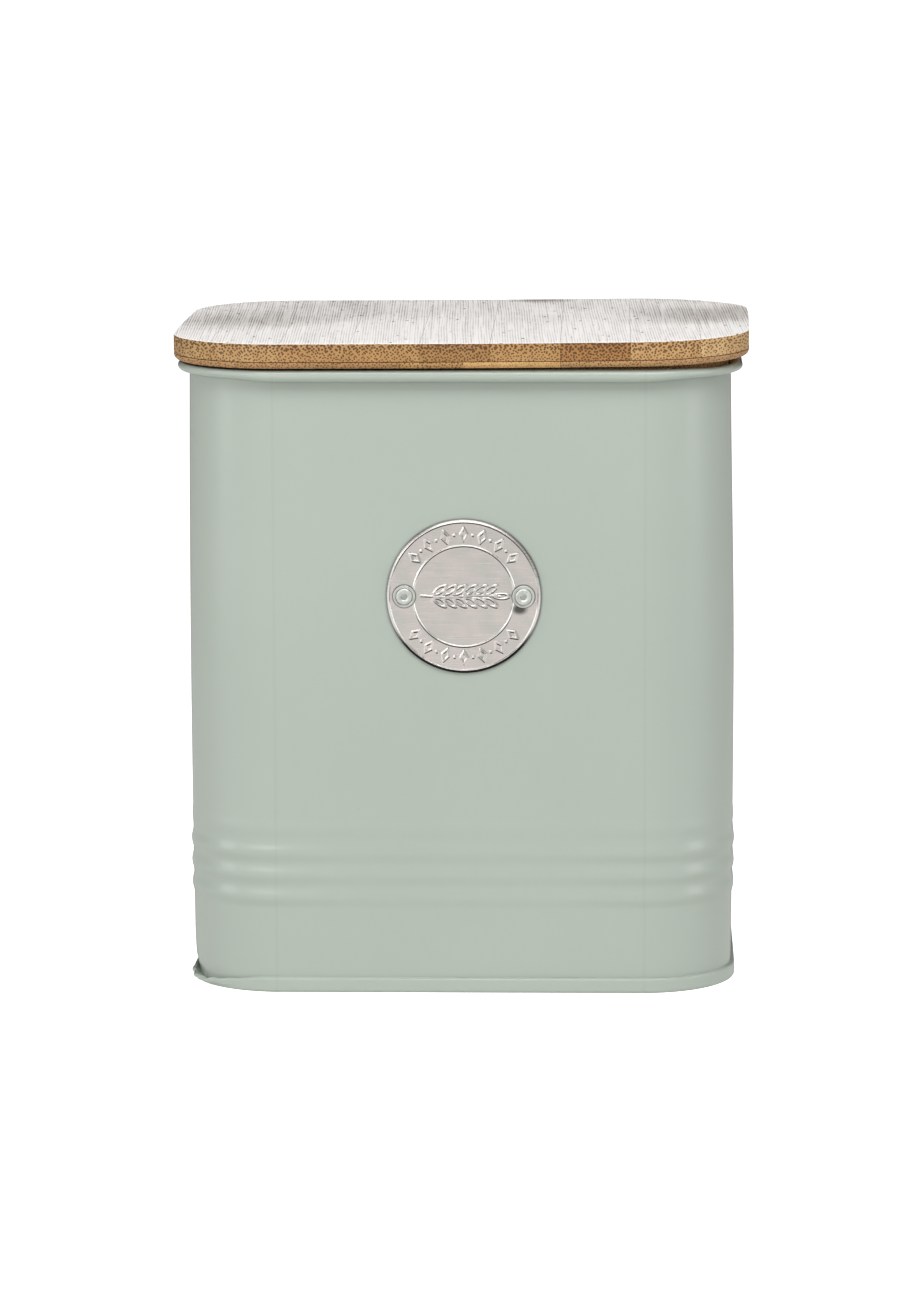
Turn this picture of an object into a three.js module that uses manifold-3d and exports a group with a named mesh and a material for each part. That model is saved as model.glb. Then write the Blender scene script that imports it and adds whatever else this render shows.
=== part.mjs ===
// Kitchen storage canister: a seamed sheet-steel tin with a rolled rim, three swaged beads and a riveted
// round badge, closed by a two-ply bamboo lid whose plug carries a silicone seal.
// Millimetres, +Z up. The origin is the centre of the base, on the plane it stands on; the badge faces -Y.
//
// Every horizontal section is a rounded rectangle about the same four corner centres, so a part is given
// as a profile (r, z), with r measured outwards from the corner centres.
import * as THREE from "three";
import { mergeVertices } from "three/addons/utils/BufferGeometryUtils.js";
import Module from "manifold-3d";

const wasm = await Module();
wasm.setup();

// ---------------------------------------------------------------- driving dimensions
const CORNER_X = 55; // corner centres, measured from the origin
const CORNER_Y = 32.5;
const ARC_STEPS = 8; // facets in each quarter turn of a corner

const SHEET = 0.35; // painted sheet steel
const WALL_R = 27.75; // outer face of the wall
const RIM_TOP = 191.2; // crest of the rolled rim
const CURL_R = 1.95; // outside radius of the rolled rim

const BEAD_WIDTH = 6.9; // beads swaged out of the wall: three equal ones, then a shallow one above them
const BEADS = [
  { z: 29.3, height: 0.55 },
  { z: 36.2, height: 0.55 },
  { z: 43.1, height: 0.55 },
  { z: 50.7, height: 0.2 },
];

const SEAM_GAP = 0.05; // between the folded sheets of the double seam
const SEAM_TOP = 4.5;
const SEAM_FACETS = 5; // an odd number leaves a flat facet to stand on
const PANEL_Z = 4.3; // middle of the base panel's sheet
const PANEL_STEP = 0.8; // the stiffening step in the base panel

const LID_R = 32.5;
const LID_GAP = 0.5; // between the rim's crest and the underside of the lid
const UNDER_PLY = 2.1;
const TOP_PLY = 5.5;
const LID_CHAMFER = 1.7; // rounded-over lower edge of the lid
const GLUE = 0.05;
// Joints between the bamboo strips, which run front to back and are glued edge to edge.
const TOP_JOINTS = [-74.5, -53.5, -32.5, -11.5, 9.5, 30.5, 51.5, 72.5];
const UNDER_JOINTS = [-66.5, -42, -17.5, 1.5, 30.5, 54.5];

const PLUG_R = 25.8;
const PLUG_DEPTH = 9;
const GROOVE_DEPTH = 1.8;
const GROOVE_HEIGHT = 4;
const GROOVE_DROP = 2.5; // from the lid's underside to the top of the groove
const SEAL_SLACK = 0.1; // room round the seal in its groove
const SEAL_TO_WALL = 0.15;

const BADGE_R = 23.4;
const BADGE_THICKNESS = 0.5;
const BADGE_X = 1.4; // the badge is riveted on by hand, a little off the middle
const BADGE_Z = 122.3;
const BADGE_RIM_WIDTH = 1.1;
const BADGE_RIDGE_R = 15.35; // the thin raised circle round the badge's middle
const BADGE_RELIEF = 0.3;
const BADGE_SEGMENTS = 64;

const RIVET_SPACING = 36;
const RIVET_HEAD_R = 3.4;
const RIVET_HEAD_HEIGHT = 1.1;
const RIVET_SHANK_R = 1.6;
const RIVET_TAIL_R = 2.4;
const RIVET_TAIL_LENGTH = 3;
const MANDREL_R = 0.9;
const RIVET_SEGMENTS = 20;
const HOLE_CLEARANCE = 0.1;
const CONTACT = 0.05; // air between parts that lie against each other

const SIDE_SEAM_WIDTH = 6; // lock seam up the middle of the back, folded inwards
const SIDE_SEAM_BOTTOM = 6;
const SIDE_SEAM_TOP = 181;

// ---------------------------------------------------------------- derived places
const WALL_INNER_R = WALL_R - SHEET;
const WALL_FRONT_Y = -(CORNER_Y + WALL_R);
const LID_BOTTOM = RIM_TOP + LID_GAP;
const PLY_JOINT = LID_BOTTOM + UNDER_PLY;
const LID_TOP = PLY_JOINT + TOP_PLY;
const LID_HALF_WIDTH = CORNER_X + LID_R;
const LID_HALF_DEPTH = CORNER_Y + LID_R;
const LAYER = SHEET + SEAM_GAP; // one folded sheet and its gap
const WALL_MID_R = WALL_R - SHEET / 2;
const SEAM_MID_R = WALL_MID_R + LAYER; // middle of the seam's five layers
const SEAM_BEND = 2 * LAYER; // centreline radius of the outer bend under the seam
const SEAM_BEND_Z = SEAM_BEND * Math.cos(Math.PI / (2 * SEAM_FACETS)) + SHEET / 2; // lowest facet at z = 0
const HOOK_BEND_Z = SEAM_TOP - LAYER - SHEET / 2;

// ---------------------------------------------------------------- materials
function material(color, roughness, metalness) {
  return new THREE.MeshStandardMaterial({ color, roughness, metalness });
}
const sagePaint = material(0xb7c1b3, 0.4, 0.1);
const badgeMetal = material(0xc9c5c0, 0.35, 1);
const rivetMetal = material(0xcfd2cc, 0.3, 1);
const mandrelSteel = material(0x9a9c98, 0.4, 1);
const limedBamboo = material(0xdedbd5, 0.8, 0);
const bamboo = material(0xb9884f, 0.7, 0);
const silicone = material(0xe4e4df, 0.5, 0);

// ---------------------------------------------------------------- profile helpers
const point = (r, z) => new THREE.Vector2(r, z);

// Points along a circular arc; angles in degrees, anticlockwise from +r.
function arc(r, z, radius, from, to, steps) {
  const points = [];
  for (let i = 0; i <= steps; i++) {
    const angle = THREE.MathUtils.degToRad(from + ((to - from) * i) / steps);
    points.push(point(r + radius * Math.cos(angle), z + radius * Math.sin(angle)));
  }
  return points;
}

// The sideways step from a centreline's point to one face of the sheet, mitred at the bend.
function faceStep(path, i, half) {
  const here = path[i];
  const into = here.clone().sub(path[Math.max(i - 1, 0)]);
  const out = path[Math.min(i + 1, path.length - 1)].clone().sub(here);
  if (i === 0) into.copy(out);
  if (i === path.length - 1) out.copy(into);
  const tangent = into.normalize().add(out.normalize()).normalize();
  const mitre = Math.max(0.5, tangent.dot(out));
  return point(tangent.y, -tangent.x).multiplyScalar(half / mitre);
}

// A closed profile that gives a centreline the thickness of the sheet.
function sheetProfile(path) {
  const half = SHEET / 2;
  const right = path.map((p, i) => p.clone().add(faceStep(path, i, half)));
  const left = path.map((p, i) => p.clone().sub(faceStep(path, i, half)));
  return right.concat(left.reverse());
}

// ---------------------------------------------------------------- solid helpers
// Joins a profile's end to its start and turns it anticlockwise, so that its faces point outwards.
function closedProfile(profile) {
  const points = THREE.ShapeUtils.area(profile) < 0 ? profile.slice().reverse() : profile.slice();
  const onAxis = points[0].x === 0 && points[points.length - 1].x === 0;
  return onAxis ? points : points.concat(points[0].clone());
}

// A lathe about the corner centres: its four quarters are pulled apart to the corners of a rounded rectangle.
// Profile points with r = 0 meet at the middle of the canister, so a profile from there to there is a plate.
function roundedLathe(profile) {
  const points = closedProfile(profile);
  const stationsPerCorner = ARC_STEPS + 1;
  const geometry = new THREE.LatheGeometry(points, 4 * stationsPerCorner);
  const position = geometry.attributes.position;
  for (let v = 0; v < position.count; v++) {
    const station = Math.floor(v / points.length);
    const { x: r, y: z } = points[v % points.length];
    const corner = Math.floor(station / stationsPerCorner) % 4;
    const turn = corner + (station % stationsPerCorner) / ARC_STEPS;
    const angle = (turn * Math.PI) / 2;
    const side = r === 0 ? 0 : 1;
    const centreX = side * (corner === 0 || corner === 3 ? CORNER_X : -CORNER_X);
    const centreY = side * (corner < 2 ? CORNER_Y : -CORNER_Y);
    position.setXYZ(v, centreX + r * Math.cos(angle), centreY + r * Math.sin(angle), z);
  }
  return geometry;
}

// A three.js geometry as a manifold-3d solid, and back.
function solidOf(geometry) {
  const bare = geometry.clone();
  bare.deleteAttribute("normal");
  bare.deleteAttribute("uv");
  const merged = mergeVertices(bare, 1e-4);
  const vertProperties = new Float32Array(merged.attributes.position.array);
  const triVerts = new Uint32Array(merged.index.array);
  return new wasm.Manifold(new wasm.Mesh({ numProp: 3, vertProperties, triVerts }));
}

function geometryOf(solid) {
  const mesh = solid.getMesh();
  const geometry = new THREE.BufferGeometry();
  geometry.setAttribute("position", new THREE.BufferAttribute(new Float32Array(mesh.vertProperties), 3));
  geometry.setIndex(new THREE.BufferAttribute(new Uint32Array(mesh.triVerts), 1));
  geometry.computeVertexNormals();
  return geometry;
}

// A round solid whose axis runs along Y. Profile points are (radius, distance in front of the wall's face).
function turnedAtFront(profile, segments, x) {
  const geometry = new THREE.LatheGeometry(closedProfile(profile), segments);
  return geometry.rotateX(Math.PI).translate(x, WALL_FRONT_Y, BADGE_Z);
}

const box = (x0, x1, y0, y1, z0, z1) =>
  new THREE.BoxGeometry(x1 - x0, y1 - y0, z1 - z0).translate((x0 + x1) / 2, (y0 + y1) / 2, (z0 + z1) / 2);

const rivetPlaces = { left: BADGE_X - RIVET_SPACING / 2, right: BADGE_X + RIVET_SPACING / 2 };

// Cuts a round hole along Y at each rivet, between two distances in front of the wall's outer face.
function boreAtRivets(solid, radius, from, to) {
  let bored = solid;
  for (const x of Object.values(rivetPlaces)) {
    const hole = new THREE.CylinderGeometry(radius, radius, to - from, RIVET_SEGMENTS);
    bored = bored.subtract(solidOf(hole.translate(x, WALL_FRONT_Y - (from + to) / 2, BADGE_Z)));
  }
  return bored;
}

const drillRivetHoles = (solid) => boreAtRivets(solid, RIVET_SHANK_R + HOLE_CLEARANCE, -5, 5);

// ---------------------------------------------------------------- canister
// How far a bead stands out at a height: a raised cosine.
function beadOffset(bead, z) {
  return (bead.height / 2) * (1 + Math.cos((2 * Math.PI * (z - bead.z)) / BEAD_WIDTH));
}

// The middle of the wall's sheet past the beads, from the lowest bead's foot to the highest bead's top.
function beadedLine() {
  const steps = 6;
  const line = [];
  for (const bead of BEADS) {
    for (let i = 0; i <= steps; i++) {
      const z = bead.z + BEAD_WIDTH * (i / steps - 0.5);
      const last = line[line.length - 1];
      if (!last || z - last.y > 0.1) line.push(point(WALL_MID_R + beadOffset(bead, z), z));
    }
  }
  return line;
}

// The wall runs from its hook in the bottom seam, up over the beads, into the rim's curl.
function wallPath() {
  const curlR = CURL_R - SHEET / 2;
  return [
    point(SEAM_MID_R + LAYER, HOOK_BEND_Z - SHEET / 2),
    ...arc(SEAM_MID_R, SEAM_BEND_Z, LAYER, 0, -180, SEAM_FACETS),
    ...beadedLine(),
    ...arc(WALL_INNER_R + CURL_R, RIM_TOP - CURL_R, curlR, 180, -135, 14),
  ];
}

// The fold of the side seam: a thickening on the inside of the wall that follows the beads.
function sideSeam() {
  const inner = SHEET * 2;
  const line = [point(WALL_MID_R, SIDE_SEAM_BOTTOM), ...beadedLine(), point(WALL_MID_R, SIDE_SEAM_TOP)];
  const outline = line.concat(line.map((p) => point(p.x - inner, p.y)).reverse());
  const shape = new THREE.Shape(outline.map((p) => point(CORNER_Y + p.x, p.y)));
  const fold = new THREE.ExtrudeGeometry(shape, { depth: SIDE_SEAM_WIDTH, bevelEnabled: false });
  fold.translate(0, 0, -SIDE_SEAM_WIDTH / 2);
  // shape x, y, depth become +Y, +Z, +X
  return fold.applyMatrix4(new THREE.Matrix4().set(0, 0, 1, 0, 1, 0, 0, 0, 0, 1, 0, 0, 0, 0, 0, 1));
}

function bodyWall() {
  const wall = solidOf(roundedLathe(sheetProfile(wallPath())));
  return geometryOf(drillRivetHoles(wall.add(solidOf(sideSeam()))));
}

// The base sheet runs from the middle of the panel, down inside the wall, under it, up and over its hook.
function basePan() {
  const bend = 0.8;
  const innerR = SEAM_MID_R - SEAM_BEND;
  const stepR = innerR - 10;
  const path = [
    point(5, PANEL_Z - PANEL_STEP),
    point(stepR - PANEL_STEP, PANEL_Z - PANEL_STEP),
    point(stepR, PANEL_Z),
    ...arc(innerR - bend, PANEL_Z - bend, bend, 90, 0, 3),
    ...arc(SEAM_MID_R, SEAM_BEND_Z, SEAM_BEND, -180, 0, SEAM_FACETS),
    ...arc(SEAM_MID_R + LAYER, HOOK_BEND_Z, LAYER, 0, 180, SEAM_FACETS),
    point(SEAM_MID_R, SEAM_BEND_Z + SHEET / 2),
  ];
  const profile = sheetProfile(path);
  const low = PANEL_Z - PANEL_STEP - SHEET / 2;
  return roundedLathe([point(0, low), ...profile, point(0, low + SHEET)]);
}

// A pressed disc with a raised edge and a thin raised circle, flattened where the rivets' heads sit.
function badgePlate() {
  const back = CONTACT;
  const face = back + BADGE_THICKNESS;
  const top = face + BADGE_RELIEF;
  const ridge = 0.35;
  const profile = [
    point(0, back),
    point(BADGE_R - 0.2, back),
    point(BADGE_R, back + 0.2),
    point(BADGE_R, face),
    point(BADGE_R - BADGE_RELIEF, top),
    point(BADGE_R - BADGE_RIM_WIDTH + BADGE_RELIEF, top),
    point(BADGE_R - BADGE_RIM_WIDTH, face),
    point(BADGE_RIDGE_R + ridge, face),
    point(BADGE_RIDGE_R, face + BADGE_RELIEF / 2),
    point(BADGE_RIDGE_R - ridge, face),
    point(0, face),
  ];
  const disc = drillRivetHoles(solidOf(turnedAtFront(profile, BADGE_SEGMENTS, BADGE_X)));
  return geometryOf(boreAtRivets(disc, RIVET_HEAD_R + HOLE_CLEARANCE, face, top + 1));
}

// A blind rivet's body: domed flange, hollow shank and the bulb it forms behind the wall.
function rivet(x) {
  const bore = MANDREL_R + CONTACT;
  const seat = 2 * CONTACT + BADGE_THICKNESS;
  const bulb = -SHEET - CONTACT;
  const tail = bulb - RIVET_TAIL_LENGTH;
  const shankR = RIVET_SHANK_R;
  const profile = [
    point(bore, tail),
    point(shankR, tail),
    point(RIVET_TAIL_R, tail + 0.8),
    point(RIVET_TAIL_R, bulb - 0.5),
    point(shankR, bulb),
    point(shankR, seat),
    point(RIVET_HEAD_R, seat),
    point(RIVET_HEAD_R * 0.97, seat + RIVET_HEAD_HEIGHT * 0.45),
    point(RIVET_HEAD_R * 0.7, seat + RIVET_HEAD_HEIGHT * 0.85),
    point(bore + 0.5, seat + RIVET_HEAD_HEIGHT),
    point(bore, seat + RIVET_HEAD_HEIGHT * 0.8),
  ];
  return turnedAtFront(profile, RIVET_SEGMENTS, x);
}

// The stub of the setting pin that stays in each rivet, with its head behind the bulb.
function mandrel(x) {
  const tail = -SHEET - CONTACT - RIVET_TAIL_LENGTH - CONTACT;
  const headR = 1.5;
  const profile = [
    point(0, tail - 1.2),
    point(headR * 0.7, tail - 1),
    point(headR, tail - 0.5),
    point(headR, tail),
    point(MANDREL_R, tail),
    point(MANDREL_R, RIVET_HEAD_HEIGHT),
    point(0, RIVET_HEAD_HEIGHT + 0.2),
  ];
  return turnedAtFront(profile, RIVET_SEGMENTS, x);
}

// ---------------------------------------------------------------- lid
// The whole lid board, before it is divided into plies and strips.
function lidBoard() {
  const arris = 0.25;
  return roundedLathe([
    point(0, LID_BOTTOM),
    ...arc(LID_R - LID_CHAMFER, LID_BOTTOM + LID_CHAMFER, LID_CHAMFER, -90, 0, 4),
    point(LID_R, LID_TOP - arris),
    point(LID_R - arris, LID_TOP),
    point(0, LID_TOP),
  ]);
}

// Cuts one ply of the board into strips at its joints.
function plyStrips(board, z0, z1, joints) {
  const margin = 1;
  const edges = [-LID_HALF_WIDTH - margin, ...joints, LID_HALF_WIDTH + margin];
  const reach = LID_HALF_DEPTH + margin;
  return edges.slice(1).map((right, i) => {
    const block = box(edges[i] + GLUE / 2, right - GLUE / 2, -reach, reach, z0, z1);
    return geometryOf(board.intersect(solidOf(block)));
  });
}

function lidPlug() {
  const top = LID_BOTTOM - GLUE;
  const bottom = LID_BOTTOM - PLUG_DEPTH;
  const grooveTop = LID_BOTTOM - GROOVE_DROP;
  const grooveBottom = grooveTop - GROOVE_HEIGHT;
  const easing = 0.8;
  return roundedLathe([
    point(0, bottom),
    point(PLUG_R - easing, bottom),
    point(PLUG_R, bottom + easing),
    point(PLUG_R, grooveBottom),
    point(PLUG_R - GROOVE_DEPTH, grooveBottom),
    point(PLUG_R - GROOVE_DEPTH, grooveTop),
    point(PLUG_R, grooveTop),
    point(PLUG_R, top),
    point(0, top),
  ]);
}

// A flat back in the groove and two fins that lean up towards the wall.
function lidSeal() {
  const top = LID_BOTTOM - GROOVE_DROP - SEAL_SLACK;
  const bottom = top - GROOVE_HEIGHT + 2 * SEAL_SLACK;
  const inner = PLUG_R - GROOVE_DEPTH + SEAL_SLACK;
  const root = PLUG_R + 0.2;
  const tip = WALL_INNER_R - SEAL_TO_WALL;
  const fin = (z) => [point(root, z), point(tip, z + 0.7), point(tip, z + 1), point(root, z + 0.9)];
  return roundedLathe([point(inner, bottom), point(root, bottom), ...fin(bottom + 0.4), ...fin(bottom + 2.2),
    point(root, top), point(inner, top)]);
}

// ---------------------------------------------------------------- assembly
function part(name, geometry, finish) {
  const mesh = new THREE.Mesh(geometry, finish);
  mesh.name = name;
  return mesh;
}

const canister = new THREE.Group();
canister.add(part("body_wall", bodyWall(), sagePaint));
canister.add(part("base_pan", basePan(), sagePaint));
canister.add(part("badge_plate", badgePlate(), badgeMetal));
for (const [side, x] of Object.entries(rivetPlaces)) {
  canister.add(part(`rivet_${side}`, rivet(x), rivetMetal));
  canister.add(part(`rivet_pin_${side}`, mandrel(x), mandrelSteel));
}

const lid = new THREE.Group();
const board = solidOf(lidBoard());
const topStrips = plyStrips(board, PLY_JOINT + GLUE / 2, LID_TOP + 1, TOP_JOINTS);
const underStrips = plyStrips(board, LID_BOTTOM - 1, PLY_JOINT - GLUE / 2, UNDER_JOINTS);
topStrips.forEach((strip, i) => lid.add(part(`lid_top_strip_${i + 1}`, strip, limedBamboo)));
underStrips.forEach((strip, i) => lid.add(part(`lid_under_strip_${i + 1}`, strip, bamboo)));
lid.add(part("lid_plug", lidPlug(), bamboo));
lid.add(part("lid_seal", lidSeal(), silicone));

const breadBin = new THREE.Group();
breadBin.add(canister, lid);

export default breadBin;
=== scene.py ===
"""Looks of the kitchen storage canister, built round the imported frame.

Metres, +Z up, the badged front towards -Y. Every horizontal section of the tin and its lid is a rounded
rectangle about the same four corner centres, so a vertical section is given as a profile (r, z), with r
measured from those centres.
"""

import math

import bmesh
import bpy
from mathutils import Matrix, Vector, noise

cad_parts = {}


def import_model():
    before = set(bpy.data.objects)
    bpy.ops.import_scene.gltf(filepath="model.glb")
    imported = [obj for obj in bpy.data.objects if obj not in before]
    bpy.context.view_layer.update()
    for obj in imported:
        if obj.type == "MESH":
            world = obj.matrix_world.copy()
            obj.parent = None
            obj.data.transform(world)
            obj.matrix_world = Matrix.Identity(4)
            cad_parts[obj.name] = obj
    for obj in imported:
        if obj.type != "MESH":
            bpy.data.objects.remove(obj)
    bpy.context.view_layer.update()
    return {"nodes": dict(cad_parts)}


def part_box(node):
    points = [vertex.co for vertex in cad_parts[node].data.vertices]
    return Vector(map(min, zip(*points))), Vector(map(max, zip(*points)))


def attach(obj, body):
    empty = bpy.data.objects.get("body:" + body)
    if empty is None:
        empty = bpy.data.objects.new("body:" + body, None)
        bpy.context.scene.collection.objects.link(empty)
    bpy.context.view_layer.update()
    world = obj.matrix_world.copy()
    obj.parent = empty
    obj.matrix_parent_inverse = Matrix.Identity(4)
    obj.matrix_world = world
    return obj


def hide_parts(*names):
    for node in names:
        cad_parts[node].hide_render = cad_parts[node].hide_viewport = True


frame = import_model()

# ---------------------------------------------------------------- dimensions
MM = 0.001
CORNER_X = 55 * MM
CORNER_Y = 32.5 * MM
SHEET = 0.35 * MM
CURL_R = 1.95 * MM
SEAM_GAP = 0.05 * MM
SEAM_TOP = 4.5 * MM
SEAM_FACETS = 5  # the CAD's facets in the seam's bend, which set its height above the ground
PANEL_Z = 4.3 * MM
PANEL_STEP = 0.8 * MM
BEAD_WIDTH = 6.9 * MM
BEADS = [(29.3 * MM, 0.55 * MM), (36.2 * MM, 0.55 * MM), (43.1 * MM, 0.55 * MM), (50.7 * MM, 0.2 * MM)]
SIDE_SEAM_WIDTH = 6 * MM
SIDE_SEAM_SPAN = (6 * MM, 181 * MM)
LID_CHAMFER = 1.7 * MM
LID_ARRIS = 0.3 * MM
GLUE = 0.18 * MM
GROOVE_DEPTH = 1.8 * MM
GROOVE_HEIGHT = 4 * MM
GROOVE_DROP = 2.5 * MM
BADGE_RIM_WIDTH = 1.3 * MM
BADGE_RIDGE_R = 15.35 * MM
RIVET_HEAD_R = 3.4 * MM
RIVET_HEAD_HEIGHT = 1.1 * MM
RIVET_SHANK_R = 1.6 * MM
MANDREL_R = 0.9 * MM
HOLE_CLEARANCE = 0.1 * MM

# ---------------------------------------------------------------- badge relief
BADGE_FACE = 0.5 * MM  # the plate's plain level, in front of its back
RIM_RELIEF = 0.4 * MM
RIDGE_RELIEF = 0.24 * MM
MOTIF_RELIEF = 0.2 * MM
SOFT = 0.22 * MM  # width of the pressed slopes

# ---------------------------------------------------------------- departures from the ideal shape
NECK = 0.7 * MM  # how far the right end is drawn in towards the rim
END_BELLY = 0.6 * MM  # how far the ends belly out half way up
FRONT_DISH = 0.06 * MM  # how far the front and back wander in and out
RIM_DIP = 0.5 * MM  # how much lower the rim's top is at the right front corner
CURL_PINCH = 0.2  # how much shallower the rim's curl is round the corners and ends
BEAD_FADE = 0.5  # how much shallower the beads are in the middle of the long sides
FOOT_TUCK = 1.3 * MM  # how far the left end's foot is pushed in
FOOT_TUCK_START = 0.4 * MM  # the part of it that is already there at the knock
KNOCK_X, KNOCK_Y = -82 * MM, -47 * MM  # where the bottom seam was knocked open
KNOCK_OUT = 2.5 * MM
KNOCK_DOWN = 2.3 * MM
SEAM_LUMPS_SIDE = 0.05 * MM
SEAM_LUMPS_CORNER = 0.13 * MM
RIVET_LIFT = {"left": 0, "right": 0.6 * MM}  # how far each head stands off the badge at its lower left
LID_TILT = math.radians(0.28)  # the lid sits a touch higher on the right
LID_CUP_LEFT = 0.2 * MM
LID_CUP_RIGHT = 0.6 * MM
LID_SAG_BACK = 0.2 * MM
LID_DROOP_RIGHT = 0.4 * MM
LID_SKEW_LEFT = 1.4 * MM
LID_SKEW_RIGHT = 1.9 * MM
LID_BULGE_RIGHT = 0.8 * MM

# ---------------------------------------------------------------- wear and tone
BEND_SHADE_LINE = 56 * MM  # a faint painted shade line just past where the sheet starts to bend round each corner
RIVET_SHADOW_R = 3.85 * MM  # radius of the painted shadow ring round each rivet
BRUSH_PITCH = 0.8 * MM
GRAIN_LEAN = math.radians(1.7)  # the strips' grain isn't quite square to the lid

# Where the lid's wash is worn: x, y, radius, amount.
WORN_PATCHES = [
    (-46 * MM, 24 * MM, 46 * MM, 0.3),
    (-72 * MM, 0, 40 * MM, 0.65),
    (23 * MM, 64 * MM, 13 * MM, 1.3),
    (80 * MM, 10 * MM, 44 * MM, 0.9),
    (12 * MM, 5 * MM, 26 * MM, 0.15),
]

# Each strip's colour and how crowded its fibres are, from left to right.
TOP_STRIPS = [
    ((186, 151, 102), 1.0), ((185, 149, 101), 1.0), ((178, 138, 90), 1.0), ((178, 138, 88), 0.95),
    ((162, 123, 76), 1.08), ((182, 143, 92), 0.95), ((162, 117, 68), 1.12), ((194, 155, 105), 0.95),
    ((216, 181, 130), 0.8),
]
UNDER_STRIPS = [
    ((186, 144, 98), 0.9), ((182, 140, 94), 0.9), ((176, 134, 88), 1.0), ((192, 148, 94), 1.0),
    ((214, 171, 112), 0.6), ((186, 146, 98), 0.9), ((190, 150, 104), 0.8),
]
PLUG_TONE = ((196, 152, 102), 0.8)

# ---------------------------------------------------------------- light and camera
TENT = 0.22  # brightness of the surroundings, to all but the camera
TENT_BEHIND = 0.02  # the same, straight behind the object
FLOOR_GLOW = 0.2
LIGHT_AIM = (0, 0, 0.11)

# Each light's place, width and height, and power.
LIGHTS = {
    "key": ((-0.7, -1.4, 0.55), (1.1, 0.3), 5),
    "left": ((-1.5, -0.55, 0.5), (0.6, 1.2), 5),
    "right": ((1.5, -0.55, 0.5), (0.6, 1.2), 5),
    "top": ((0.1, -0.85, 1.35), (1.5, 0.7), 19),
}
CAMERA_PLACE = Vector((49.5, -1699.3, 379.9)) * MM
CAMERA_YAW, CAMERA_PITCH, CAMERA_ROLL = (math.radians(a) for a in (-1.663, 9.397, -0.178))
SENSOR = 36  # in mm, as is the focal length
FOCAL_LENGTH = 153.327
LENS_SHIFT = (-0.00286, -0.0041)

# ---------------------------------------------------------------- places, from the frame
wall_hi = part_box("body_wall")[1]
plug_lo, plug_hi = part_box("lid_plug")
seal_lo, seal_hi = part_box("lid_seal")
badge_lo, badge_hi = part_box("badge_plate")
top_strips = sorted(n for n in frame["nodes"] if n.startswith("lid_top_strip"))
under_strips = sorted(n for n in frame["nodes"] if n.startswith("lid_under_strip"))
lid_lo = Vector((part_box(top_strips[0])[0].x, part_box(top_strips[4])[0].y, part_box(under_strips[3])[0].z))
lid_hi = Vector((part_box(top_strips[-1])[1].x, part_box(top_strips[4])[1].y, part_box(top_strips[4])[1].z))

RIM_TOP = wall_hi.z
WALL_INNER_R = wall_hi.x - CORNER_X - 2 * CURL_R
WALL_R = WALL_INNER_R + SHEET
WALL_MID_R = WALL_R - SHEET / 2
WALL_FRONT_Y = -(CORNER_Y + WALL_R)
LID_R = lid_hi.x - CORNER_X
BADGE_CENTRE = (badge_lo + badge_hi) / 2
BADGE_R = (badge_hi.x - badge_lo.x) / 2


# ---------------------------------------------------------------- profiles
def arc(r, z, radius, start, end, steps):
    """Points (r, z) along a circular arc, angles in degrees, anticlockwise from +r."""
    turns = [math.radians(start + (end - start) * i / steps) for i in range(steps + 1)]
    return [(r + radius * math.cos(t), z + radius * math.sin(t)) for t in turns]


def line(start, end, steps):
    """Points from start to end, without the end."""
    return [tuple(a + (b - a) * i / steps for a, b in zip(start, end)) for i in range(steps)]


def sheet_profile(path):
    """The sheet's section about a centreline, as a closed profile: its outer skin, then its inner skin."""
    outer, inner = [], []
    for i, here in enumerate(path):
        into = Vector(here) - Vector(path[max(i - 1, 0)])
        out = Vector(path[min(i + 1, len(path) - 1)]) - Vector(here)
        into = out if i == 0 else into
        out = into if i == len(path) - 1 else out
        tangent = (into.normalized() + out.normalized()).normalized()
        step = SHEET / 2 / max(0.5, tangent.dot(out.normalized()))
        side = Vector((tangent.y, -tangent.x)) * step
        outer.append(tuple(Vector(here) + side))
        inner.append(tuple(Vector(here) - side))
    return outer + inner[::-1]


# ---------------------------------------------------------------- meshes
class Place:
    """One station round the rounded rectangle: a point at radius r is at centre + r * outward."""

    def __init__(self, centre, outward, side=None):
        self.centre = Vector(centre)
        self.outward = Vector(outward)
        self.side = side  # "back", "left", "front" or "right" on a straight run, None in a corner


def places(arc_steps, cuts_long, cuts_short):
    """Stations anticlockwise from the right side's back end, with cuts at fractions along each side."""
    corners = [(1, 1), (-1, 1), (-1, -1), (1, -1)]
    sides = ["back", "left", "front", "right"]
    made = []
    for k, (sx, sy) in enumerate(corners):
        here = Vector((sx * CORNER_X, sy * CORNER_Y))
        for i in range(arc_steps + 1):
            turn = math.pi / 2 * (k + i / arc_steps)
            made.append(Place(here, (math.cos(turn), math.sin(turn))))
        nx, ny = corners[(k + 1) % 4]
        after = Vector((nx * CORNER_X, ny * CORNER_Y))
        turn = math.pi / 2 * (k + 1)
        for t in cuts_long if k % 2 == 0 else cuts_short:
            made.append(Place(here.lerp(after, t), (math.cos(turn), math.sin(turn)), sides[k]))
    return made


def smooth(value, low, high):
    t = min(1, max(0, (value - low) / (high - low)))
    return t * t * (3 - 2 * t)


def even(count):
    return [i / count for i in range(1, count)]


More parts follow.
